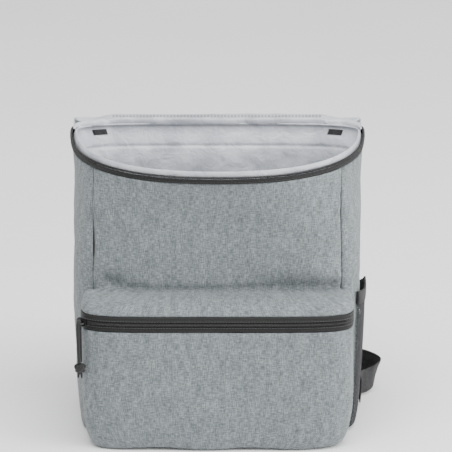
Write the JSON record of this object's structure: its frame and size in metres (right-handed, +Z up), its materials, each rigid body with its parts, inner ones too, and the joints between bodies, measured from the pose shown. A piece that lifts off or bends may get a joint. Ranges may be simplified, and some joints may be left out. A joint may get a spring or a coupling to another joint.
{
  "type": "cooler backpack",
  "caption": "Insulated box backpack in heather grey cloth with black zips, open at the top, its lid folded back behind, a zipped front pocket and a mesh side pocket.",
  "frame": {"origin": "middle of the base panel's flat underside", "axes": "+Z up, the front pocket looks along -Y, and the side with the mesh pocket is +X"},
  "size_m": [0.3145, 0.2268, 0.2955],
  "materials": {
    "heather_polyester": "woven heather grey polyester",
    "silver_lining": "soft silver-grey coated lining",
    "black_zip_tape": "woven zip tape",
    "black_nylon_coil": "nylon coil",
    "black_webbing": "woven webbing",
    "black_mesh": "knitted mesh",
    "black_cord": "braided cord",
    "black_acetal": "moulded plastic",
    "black_strap_fabric": "padded woven cloth"
  },
  "bodies": {
    "root": {"front_panel": "heather_polyester", "side_gusset_left": "heather_polyester", "side_gusset_right": "heather_polyester", "back_panel": "heather_polyester", "base_panel": "heather_polyester", "liner": "silver_lining", "rim_zip_tape": "black_zip_tape", "rim_zip_coil": "black_nylon_coil", "rim_slider_left": "black_acetal", "rim_slider_right": "black_acetal", "lid": "heather_polyester", "lid_lining": "silver_lining", "lid_zip_tape": "black_zip_tape", "lid_zip_coil": "black_nylon_coil", "pocket_hood": "heather_polyester", "pocket_front": "heather_polyester", "pocket_zip_tape": "black_zip_tape", "pocket_zip_coil": "black_nylon_coil", "pocket_slider": "black_acetal", "pull_cord": "black_cord", "pull_knot": "black_cord", "mesh_pocket": "black_mesh", "mesh_binding": "black_webbing", "shoulder_strap_left": "black_strap_fabric", "shoulder_strap_right": "black_strap_fabric", "ladder_lock_left": "black_acetal", "ladder_lock_right": "black_acetal", "lower_webbing_left": "black_webbing", "lower_webbing_right": "black_webbing"}
  },
  "joints": []
}
